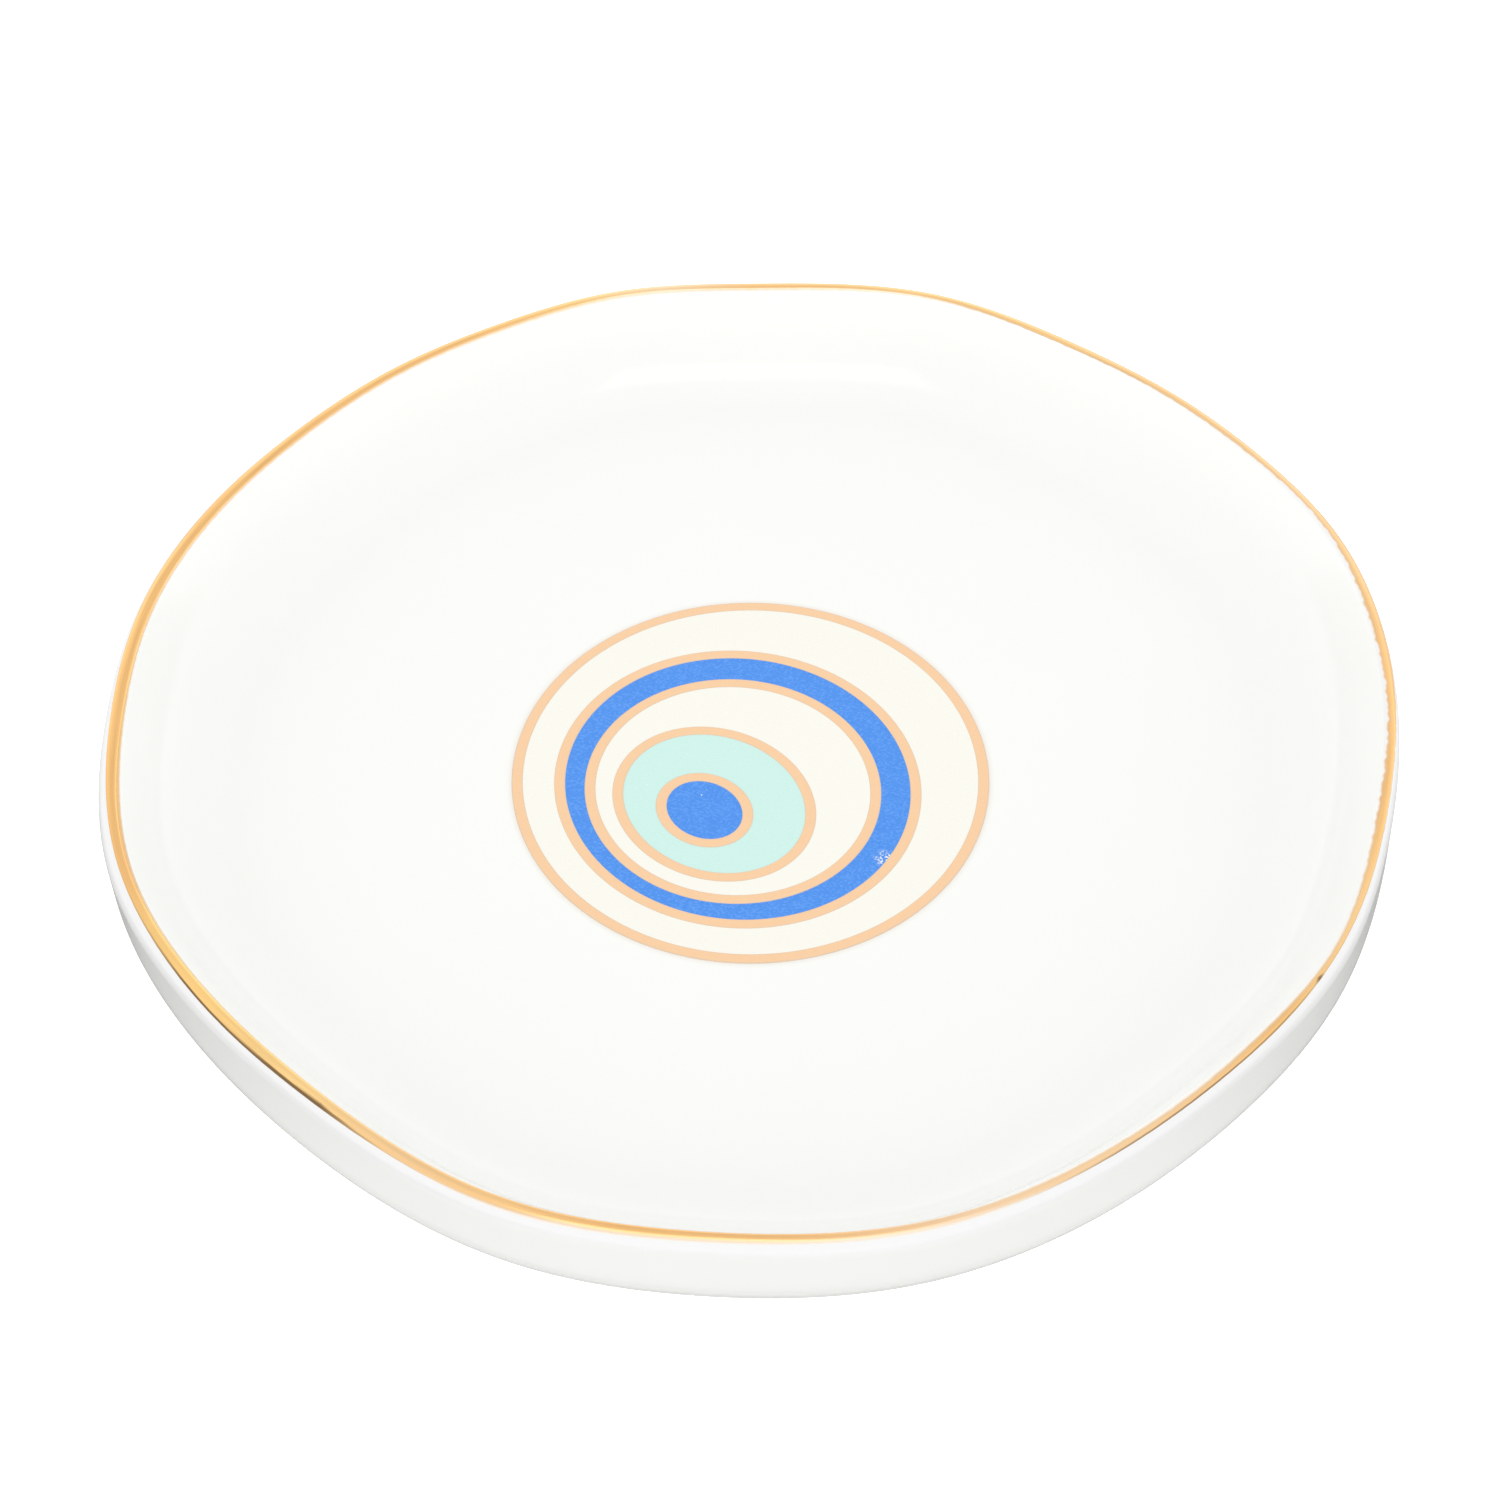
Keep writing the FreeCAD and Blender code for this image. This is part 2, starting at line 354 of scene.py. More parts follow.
@dataclass
class RingLoft:
    """A mesh drawn ring by ring from a circle, as by hand: extrude, scale, move.

    Attributes:
        name: Name of the piece.
        rings: The rings in order.
        count: Number of points round each ring.
    """

    name: str
    rings: Sequence[Ring]
    count: int

    def draw(self) -> bpy.types.Object:
        """Extrude the rings one from the other.

        Returns:
            The new object, with the points of each ring one after the other and both ends open.
        """
        bpy.ops.object.select_all(action="DESELECT")
        bpy.ops.mesh.primitive_circle_add(vertices=self.count, radius=1.0, fill_type="NOTHING")
        piece = bpy.context.object
        piece.name = self.name
        bpy.ops.object.mode_set(mode="EDIT")
        bpy.ops.mesh.select_all(action="SELECT")
        last = Ring(1.0, 1.0, 0.0, 0.0)
        for number, ring in enumerate(self.rings):
            if number:
                bpy.ops.mesh.extrude_edges_indiv()
            scale = (ring.along / last.along, ring.across / last.across, 1.0)
            bpy.ops.transform.resize(value=scale, center_override=(last.shift, 0.0, last.level))
            bpy.ops.transform.translate(value=(ring.shift - last.shift, 0.0, ring.level - last.level))
            last = ring
        bpy.ops.object.mode_set(mode="OBJECT")
        return piece

    def points(self, piece: bpy.types.Object) -> np.ndarray:
        """Read the points of a drawn piece.

        Args:
            piece: The drawn piece.

        Returns:
            The points by ring, point and axis.
        """
        flat = np.empty(len(piece.data.vertices) * 3)
        piece.data.vertices.foreach_get("co", flat)
        return flat.reshape(len(self.rings), self.count, 3)

    def place(self, piece: bpy.types.Object, points: np.ndarray) -> None:
        """Put the points of a drawn piece in new places, by ring, point and axis."""
        piece.data.vertices.foreach_set("co", points.ravel())
        piece.data.update()

    def mark(self, piece: bpy.types.Object, name: str, values: np.ndarray) -> None:
        """Give every point of a drawn piece a value for a finish to read.

        Args:
            piece: The drawn piece.
            name: Name of the attribute.
            values: Values by ring and point, or one value for each ring with a second axis of one.
        """
        layer = piece.data.attributes.new(name, "FLOAT", "POINT")
        spread = np.broadcast_to(values, (len(self.rings), self.count))
        layer.data.foreach_set("value", np.ascontiguousarray(spread, np.float32).ravel())

    def close(self, piece: bpy.types.Object, ends: Ends) -> None:
        """Close a drawn piece and turn its faces outwards.

        Args:
            piece: The drawn piece.
            ends: How its first and last ring are closed.
        """
        work_on(piece)
        last_ring = (len(self.rings) - 1) * self.count
        if ends is Ends.CAPPED:
            self._select(piece, range(self.count))
            bpy.ops.mesh.edge_face_add()
            self._select(piece, range(last_ring, last_ring + self.count))
            bpy.ops.mesh.edge_face_add()
        if ends is Ends.POLE:
            self._select(piece, range(last_ring, last_ring + self.count))
            bpy.ops.mesh.extrude_edges_indiv()
            bpy.ops.mesh.merge(type="CENTER")
        if not piece.data.is_editmode:
            bpy.ops.object.mode_set(mode="EDIT")
        bpy.ops.mesh.select_all(action="SELECT")
        bpy.ops.mesh.remove_doubles(threshold=MERGE_GAP)
        bpy.ops.mesh.normals_make_consistent(inside=False)
        bpy.ops.object.mode_set(mode="OBJECT")

    def _select(self, piece: bpy.types.Object, numbers: Iterable[int]) -> None:
        """Select some points and leave the piece in edit mode.

        Args:
            piece: The drawn piece.
            numbers: Numbers of the points.
        """
        bpy.ops.object.mode_set(mode="EDIT")
        bpy.ops.mesh.select_all(action="DESELECT")
        bpy.ops.object.mode_set(mode="OBJECT")
        for number in numbers:
            piece.data.vertices[number].select = True
        bpy.ops.object.mode_set(mode="EDIT")
        bpy.ops.mesh.select_mode(type="VERT")


def work_on(piece: bpy.types.Object) -> None:
    """Make a piece the only selected one and the active one.

    Args:
        piece: The piece.
    """
    bpy.ops.object.select_all(action="DESELECT")
    piece.select_set(True)
    bpy.context.view_layer.objects.active = piece


def smooth(piece: bpy.types.Object, limit: float = 40.0) -> None:
    """Shade a piece smooth, apart from edges that turn by more than a limit in degrees."""
    work_on(piece)
    bpy.ops.object.shade_smooth_by_angle(angle=math.radians(limit))


def apply_modifiers(piece: bpy.types.Object) -> None:
    """Apply a piece's modifiers in order.

    Args:
        piece: The piece.
    """
    work_on(piece)
    for modifier in list(piece.modifiers):
        bpy.ops.object.modifier_apply(modifier=modifier.name)


def dress(piece: bpy.types.Object, material: bpy.types.Material) -> None:
    """Give a piece one finish all over."""
    piece.data.materials.clear()
    piece.data.materials.append(material)


def hand_over(piece: bpy.types.Object, node: str) -> None:
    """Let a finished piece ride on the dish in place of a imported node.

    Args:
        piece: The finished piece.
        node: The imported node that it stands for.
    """
    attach(piece, "root")
    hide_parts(node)
    LOG.info("%s stands for %s, with %d faces", piece.name, node, len(piece.data.polygons))


# Finishes


class NodeSheet:
    """A node tree, with short ways to add nodes and wire them."""

    def __init__(self, tree: bpy.types.NodeTree) -> None:
        """Take over a node tree."""
        self.tree = tree

    def feed(self, target: Socket, source: object) -> None:
        """Set an input to a value, or wire an output to it.

        Args:
            target: The input.
            source: The value or the output.
        """
        if isinstance(source, Socket):
            self.tree.links.new(source, target)
        else:
            target.default_value = source

    def output(self, kind: str, name: str, inputs: dict[str | int, object], **settings: object) -> Socket:
        """Add a node and take one of its outputs.

        Args:
            kind: Blender's name of the node.
            name: Name of the output.
            inputs: Values or outputs to feed it with, by the name or number of the input.
            **settings: Properties to set on it.

        Returns:
            The output.
        """
        node = self.tree.nodes.new(kind)
        for setting, value in settings.items():
            setattr(node, setting, value)
        for key, source in inputs.items():
            self.feed(node.inputs[key], source)
        return node.outputs[name]

    def math(self, operation: str, first: object, second: object = 0.0) -> Socket:
        """Return the result of a sum on one or two values or outputs."""
        return self.output("ShaderNodeMath", "Value", {0: first, 1: second}, operation=operation)


class ShaderSheet(NodeSheet):
    """A material's node tree round its one shader.

    Attributes:
        speck_core: Share of a speck's radius inside which it is at its full strength.
        noise_middle: Value that soft noise lies about.
    """

    speck_core: float = 0.5
    noise_middle: float = 0.5

    def __init__(self, name: str) -> None:
        """Start a material with its shader.

        Args:
            name: Name of the material.
        """
        self.material = bpy.data.materials.new(name)
        self.material.use_nodes = True
        super().__init__(self.material.node_tree)
        self.shader = self.tree.nodes["Principled BSDF"]
        self.place = self.output("ShaderNodeTexCoord", "Object", {})

    def stretched(self, scale: tuple[float, float, float], turn: float) -> Socket:
        """Return the place on the piece, turned about Z by some degrees and stretched along the axes."""
        inputs = {"Rotation": (0.0, 0.0, math.radians(turn)), "Scale": scale, "Vector": self.place}
        return self.output("ShaderNodeMapping", "Vector", inputs)

    def noise(self, size: float, detail: float = 2.0, vector: Socket | None = None) -> Socket:
        """Return soft noise with patches of a size and some finer layers, read on the piece or elsewhere."""
        inputs = {"Scale": 1.0 / size, "Detail": detail, "Vector": vector or self.place}
        return self.output("ShaderNodeTexNoise", "Fac", inputs)

    def specks(self, spacing: float, radius: float, share: float) -> Socket:
        """Return sparse round specks.

        Args:
            spacing: Mean distance between places where a speck may be.
            radius: Radius of a speck.
            share: Share of the places that have one.

        Returns:
            One in the middle of a speck and zero between the specks.
        """
        near = self.output("ShaderNodeTexVoronoi", "Distance", {"Scale": 1.0 / spacing, "Vector": self.place})
        dot = self.limits(near, radius / spacing, self.speck_core * radius / spacing)
        chance = self.output("ShaderNodeSeparateColor", "Red", {"Color": near.node.outputs["Color"]})
        return self.math("MULTIPLY", dot, self.math("LESS_THAN", chance, share))

    def limits(self, value: Socket, low: float, high: float) -> Socket:
        """Return a value as a smooth share between two limits."""
        inputs = {"Value": value, "From Min": low, "From Max": high}
        return self.output("ShaderNodeMapRange", "Result", inputs, interpolation_type="SMOOTHSTEP")

    def span(self, share: Socket, low: float, high: float) -> Socket:
        """Return a share as a value between two limits."""
        return self.output("ShaderNodeMapRange", "Result", {"Value": share, "To Min": low, "To Max": high})

    def blend(self, share: Socket, first: Socket | Tint, second: Socket | Tint) -> Socket:
        """Return a colour between two tints or outputs."""
        inputs = {"Factor": share, "A": opaque(first), "B": opaque(second)}
        return self.output("ShaderNodeMix", "Result", inputs, data_type="RGBA")

    def axis(self, name: str) -> Socket:
        """Return one axis of the place on the piece."""
        return self.output("ShaderNodeSeparateXYZ", name, {"Vector": self.place})

    def distance(self, middle: Place) -> Socket:
        """Return the distance of the place on the piece from a middle."""
        return self.output("ShaderNodeVectorMath", "Value", {0: self.place, 1: middle}, operation="DISTANCE")

    def mark(self, name: str) -> Socket:
        """Return the value that the piece's points carry under a name."""
        return self.output("ShaderNodeAttribute", "Fac", {}, attribute_name=name)

    def relief(self, height: Socket, depth: float) -> None:
        """Give the surface a fine relief, from shares of a depth in metres."""
        inputs = {"Strength": 1.0, "Distance": depth, "Height": height}
        self.shade("Normal", self.output("ShaderNodeBump", "Normal", inputs))

    def shade(self, name: str, source: object) -> None:
        """Set or wire one of the shader's own inputs by its name."""
        self.feed(self.shader.inputs[name], source)


def opaque(tint: Socket | Tint) -> Socket | tuple[float, float, float, float]:
    """Return a tint as a full colour, and an output as it is."""
    return tint if isinstance(tint, Socket) else (*tint, 1.0)


def shaded(tint: Tint, factor: float) -> Tint:
    """Return a tint made darker by a factor."""
    return (tint[0] * factor, tint[1] * factor, tint[2] * factor)


@dataclass(frozen=True)
class GlazeFinish:
    """White glaze with faint specks and a soft ripple, greyer on the lip as painted shade and warmer round
    the print.
    """

    name: str = "white_glaze"
    tint: Tint = (0.835, 0.842, 0.818)
    tint_change: float = 0.985
    tint_size: float = 24.0 * MM
    speck_tint: Tint = (0.66, 0.64, 0.58)
    speck_spacing: float = 9.0 * MM
    speck_radius: float = 0.13 * MM
    speck_share: float = 0.18
    speck_strength: float = 0.45
    ripple_size: float = 5.0 * MM
    ripple_detail: float = 1.0
    ripple_depth: float = 0.003 * MM
    roughness: Limits = (0.09, 0.15)
    lip_shade_tint: Tint = (0.765, 0.768, 0.765)
    fringe_tint: Tint = (0.775, 0.735, 0.68)
    fringe_middle: Place = (*EYE_MIDDLE, FLOOR_LEVEL)
    fringe_reach: Limits = (22.2 * MM, 21.35 * MM)
    fringe_depth: float = 0.1 * MM

    def material(self) -> bpy.types.Material:
        """Mix the finish.

        Returns:
            The finish as a material.
        """
        sheet = ShaderSheet(self.name)
        patches = sheet.noise(self.tint_size)
        tint = sheet.blend(patches, self.tint, shaded(self.tint, self.tint_change))
        # Painted shade: the glaze turns greyer on the lip's outer roll and on its inner edge on the right.
        tint = sheet.blend(sheet.mark("lip_darkening"), tint, self.lip_shade_tint)
        fringe = sheet.limits(sheet.distance(self.fringe_middle), *self.fringe_reach)
        on_floor = sheet.math("GREATER_THAN", sheet.axis("Z"), self.fringe_middle[2] - self.fringe_depth)
        tint = sheet.blend(sheet.math("MULTIPLY", fringe, on_floor), tint, self.fringe_tint)
        specks = sheet.specks(self.speck_spacing, self.speck_radius, self.speck_share)
        strength = sheet.math("MULTIPLY", specks, self.speck_strength)
        sheet.shade("Base Color", sheet.blend(strength, tint, self.speck_tint))
        sheet.shade("Roughness", sheet.span(patches, *self.roughness))
        sheet.relief(sheet.noise(self.ripple_size, self.ripple_detail), self.ripple_depth)
        return sheet.material


@dataclass(frozen=True)
class BisqueFinish:
    """Bare fired porcelain, dry and finely pitted, a little stained where it stands."""

    name: str = "bare_porcelain"
    tint: Tint = (0.74, 0.71, 0.65)
    stain_tint: Tint = (0.58, 0.53, 0.46)
    stain_size: float = 7.0 * MM
    stain_detail: float = 4.0
    stain_limits: Limits = (0.5, 0.75)
    grain_size: float = 0.35 * MM
    grain_detail: float = 3.0
    grain_depth: float = 0.02 * MM
    roughness: Limits = (0.55, 0.75)

    def material(self) -> bpy.types.Material:
        """Mix the finish.

        Returns:
            The finish as a material.
        """
        sheet = ShaderSheet(self.name)
        stain = sheet.limits(sheet.noise(self.stain_size, self.stain_detail), *self.stain_limits)
        sheet.shade("Base Color", sheet.blend(stain, self.tint, self.stain_tint))
        grain = sheet.noise(self.grain_size, self.grain_detail)
        sheet.shade("Roughness", sheet.span(grain, *self.roughness))
        sheet.relief(grain, self.grain_depth)
        return sheet.material


@dataclass(frozen=True)
class GoldFinish:
    """Fired gold with brush streaks along the line.

    It is thin over the glaze at its edges and browner where it is thin; a painted highlight makes it brighter
    in some places and paler in others, and a painted dark reflection runs along parts of its outer edge.
    """

    name: str = "rim_gold"
    tint: Tint = (0.87, 0.505, 0.20)
    highlight_tint: Tint = (1.0, 0.655, 0.245)
    dark_tint: Tint = (0.17, 0.10, 0.045)
    pale_tint: Tint = (0.84, 0.765, 0.665)
    streak_factor: float = 0.90
    streak_length: float = 9.0 * MM
    streak_count: float = 5.0
    streak_size: float = 1.0
    streak_detail: float = 3.0
    streak_limits: Limits = (0.35, 0.75)
    streak_depth: float = 0.004 * MM
    roughness: Limits = (0.14, 0.26)

    def material(self) -> bpy.types.Material:
        """Mix the finish.

        Returns:
            The finish as a material.
        """
        sheet = ShaderSheet(self.name)
        runs = {axis: sheet.math("DIVIDE", sheet.axis(axis), self.streak_length) for axis in ("X", "Y")}
        across = sheet.math("MULTIPLY", sheet.mark("across"), self.streak_count)
        brushed = sheet.output("ShaderNodeCombineXYZ", "Vector", {**runs, "Z": across})
        streaks = sheet.noise(self.streak_size, self.streak_detail, brushed)
        painted_highlight = sheet.mark("painted_highlight")
        # Painted highlight: the gold is lifted towards the brighter highlight tint where it is marked.
        plain = sheet.blend(painted_highlight, self.tint, self.highlight_tint)
        dull = [shaded(tint, self.streak_factor) for tint in (self.tint, self.highlight_tint)]
        tint = sheet.blend(sheet.limits(streaks, *self.streak_limits), plain, sheet.blend(painted_highlight, *dull))
        # The cover, which also carries the painted pale highlight, mixes the gold with the pale tint and sets
        # how metallic it is.
        cover_and_pale_highlight = sheet.mark("cover_and_pale_highlight")
        tint = sheet.blend(cover_and_pale_highlight, self.pale_tint, tint)
        sheet.shade("Base Color", sheet.blend(sheet.mark("dark"), tint, self.dark_tint))
        sheet.shade("Metallic", cover_and_pale_highlight)
        sheet.shade("Roughness", sheet.span(streaks, *self.roughness))
        sheet.relief(streaks, self.streak_depth)
        return sheet.material


@dataclass(frozen=True)
class Scuff:
    """A small worn place where the white glaze shows through a print.

    Attributes:
        place: Its middle, in the frame.
        reach: Radius in which flakes are missing.
        flake: Size of the flakes.
        core: Share of the reach inside which they are missing as often as they ever are.
        limits: Noise between which a flake goes from whole to missing.
    """

    place: Place
    reach: float
    flake: float
    core: float = 0.3
    limits: Limits = (0.50, 0.58)

    def missing(self, sheet: ShaderSheet) -> Socket:
        """Return where flakes are missing, in a material's nodes."""
        near = sheet.limits(sheet.distance(self.place), self.reach, self.core * self.reach)
        return sheet.math("MULTIPLY", near, sheet.limits(sheet.noise(self.flake), *self.limits))


@dataclass(frozen=True)
class EnamelFinish:
    """A printed enamel with a fine screen grain, faint pinholes and a darker edge.

    Attributes:
        ink: Which enamel it is.
        tint: Main colour.
        grain_tint: Colour of the grain.
        edge_tint: Colour along the border of the print.
        grain_strength: Share of the grain's colour where the grain is strongest.
        grain_size: Distance between the grain's lines.
        grain_stretch: Factors that draw the grain out along its lines.
        grain_turn: Angle of its lines in degrees.
        grain_limits: Noise between which the grain goes from none to strongest.
        cloud_size: Size of the patches in which the grain is stronger or weaker.
        cloud_strength: How much stronger or weaker it is.
        scuff: A worn place, if it has one.
    """

    ink: Ink
    tint: Tint
    grain_tint: Tint
    edge_tint: Tint
    grain_strength: float
    grain_size: float = 0.2 * MM
    grain_detail: float = 1.0
    grain_stretch: tuple[float, float, float] = (0.7, 1.0, 1.0)
    grain_turn: float = 35.0
    grain_limits: Limits = (0.42, 0.68)
    cloud_size: float = 0.96 * MM
    cloud_detail: float = 3.0
    cloud_strength: float = 0.35
    pinhole_spacing: float = 1.6 * MM
    pinhole_radius: float = 0.09 * MM
    pinhole_share: float = 0.06
    pinhole_tint: Tint = (0.80, 0.80, 0.78)
    relief_depth: float = 0.003 * MM
    roughness: Limits = (0.16, 0.28)
    scuff: Scuff | None = None

    def material(self) -> bpy.types.Material:
        """Mix the finish.

        Returns:
            The finish as a material.
        """
        sheet = ShaderSheet(self.ink.value)
        turned = sheet.stretched(self.grain_stretch, self.grain_turn)
        lines = sheet.noise(self.grain_size, self.grain_detail, turned)
        cloud = sheet.math("SUBTRACT", sheet.noise(self.cloud_size, self.cloud_detail), sheet.noise_middle)
        uneven = sheet.math("ADD", lines, sheet.math("MULTIPLY", cloud, self.cloud_strength))
        grain = sheet.limits(uneven, *self.grain_limits)
        strength = sheet.math("MULTIPLY", grain, self.grain_strength)
        tint = sheet.blend(strength, self.tint, self.grain_tint)
        tint = sheet.blend(sheet.mark("border"), tint, self.edge_tint)
        worn = sheet.specks(self.pinhole_spacing, self.pinhole_radius, self.pinhole_share)
        if self.scuff:
            worn = sheet.math("MAXIMUM", worn, self.scuff.missing(sheet))
        sheet.shade("Base Color", sheet.blend(worn, tint, self.pinhole_tint))
        sheet.shade("Roughness", sheet.span(grain, *self.roughness))
        sheet.relief(grain, self.relief_depth)
        return sheet.material


# Pieces


@dataclass
class GlazedDish:
    """The glaze over the wall, the lip and the floor, and the glaze inside the foot ring.

    Attributes:
        form: The dish.
        finish: The glaze's finish.
        points_round: Number of points round each ring.
        facet: Largest turn between two rings of a rounded corner.
        support: Distance from a rounded corner at which a straight run gets a ring of its own.
        floor_shares: Rings across the floor, as shares of the reach of its edge.
        edge_round: Width of the round on the coat's edges.
        edge_segments: Number of facets across that round.
        edge_angle: Smallest angle between two faces that is rounded.
        lip_shade_fade: Share of the lip's round over which the painted shade fades on the outside.
        inner_lip_shades: Angle round the dish, and how strong the painted shade is there on the lip's inner
            edge.
    """

    form: DishForm
    finish: GlazeFinish = GlazeFinish()
    points_round: int = 360
    facet: float = math.radians(4.5)
    support: float = 0.5 * MM
    floor_shares: tuple[float, ...] = (0.985, 0.93, 0.84, 0.72, 0.58, 0.43, 0.28, 0.14, 0.05)
    edge_round: float = 0.09 * MM
    edge_segments: int = 3
    edge_angle: float = math.radians(50.0)
    lip_shade_fade: float = 0.5
    inner_lip_shades: Table = ((0, 1.0), (35, 0.8), (65, 0.0), (290, 0.0), (325, 0.8))

    def build(self) -> None:
        """Build the coat outside the foot ring and the one inside it."""
        material = self.finish.material()
        outer = self._coat("glazed_shell", self.form.wall_corners(), Backing.BEHIND, material)
        hand_over(outer, "glaze_coat")
        base = self._coat("glazed_base", self.form.base_corners(), Backing.IN_FRONT, material)
        hand_over(base, "base_glaze")

    def _coat(
        self, name: str, corners: list[Corner], backing: Backing, material: bpy.types.Material
    ) -> bpy.types.Object:
        """Build one coat from its section.

        Args:
            name: Name of the piece.
            corners: Its section, which ends on the axis.
            backing: Where the porcelain lies.
            material: Its finish.

        Returns:
            The finished coat.
        """
        rows = rounded_rows(corners, self.facet, self.support)
        inner = [rows[-1] * np.array([share, share**2, 1.0]) for share in self.floor_shares]
        rows = np.vstack([rows, inner])
        loft = RingLoft(name, [Ring(row[0], row[0], 0.0, row[2]) for row in rows], self.points_round)
        coat = loft.draw()
        points = loft.points(coat)
        degrees = np.degrees(np.arctan2(points[0, :, 1], points[0, :, 0]))
        points[:, :, :2] += rows[:, 1, None, None] * self.form.wave_at(degrees)[None]
        loft.place(coat, points)
        # Painted shade on the lip, which the glaze finish reads.
        loft.mark(coat, "lip_darkening", self._painted_lip_shade(rows, degrees))
        loft.close(coat, Ends.POLE)
        self._thicken(coat, backing)
        smooth(coat)
        dress(coat, material)
        return coat

    def _painted_lip_shade(self, rows: np.ndarray, degrees: np.ndarray) -> np.ndarray:
        """Find where the lip gets painted shade: on the outside of the lip, and on its inner edge on the
        right.

        Args:
            rows: Reach, wave and level of each ring.
            degrees: Angle of each point round the dish.

        Returns:
            Shares by ring and point.
        """
        form = self.form
        drop = form.height - rows[:, 2]
        outside = rows[:, 0] > form.rim_radius
        outer = outside * ((1.0 - drop / form.lip_round) / self.lip_shade_fade).clip(0.0, 1.0)
        edge_drop = form.lip_edge_round * (1.0 - math.sin(form.inner_lean))
        inner = ~outside * (1.0 - drop / edge_drop).clip(0.0, 1.0)
        return outer[:, None] + inner[:, None] * straight_between(self.inner_lip_shades, degrees)

    def _thicken(self, coat: bpy.types.Object, backing: Backing) -> None:
        """Give a coat its thickness towards the porcelain, and round its edges on the foot ring.

        Args:
            coat: The coat, still a thin skin.
            backing: Where the porcelain lies.
        """
        solid = coat.modifiers.new("thickness", "SOLIDIFY")
        solid.thickness = self.form.glaze_thickness
        solid.offset = backing.value
        solid.use_even_offset = True
        edge = coat.modifiers.new("edge", "BEVEL")
        edge.width = self.edge_round
        edge.segments = self.edge_segments
        edge.limit_method = "ANGLE"
        edge.angle_limit = self.edge_angle
        apply_modifiers(coat)


@dataclass
class PorcelainFoot:
    """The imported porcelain, which shows only on the bare foot ring."""

    finish: BisqueFinish = BisqueFinish()

    def build(self) -> None:
        """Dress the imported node."""
        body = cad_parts["porcelain_body"]
        dress(body, self.finish.material())
        LOG.info("%s keeps its packed shape", body.name)


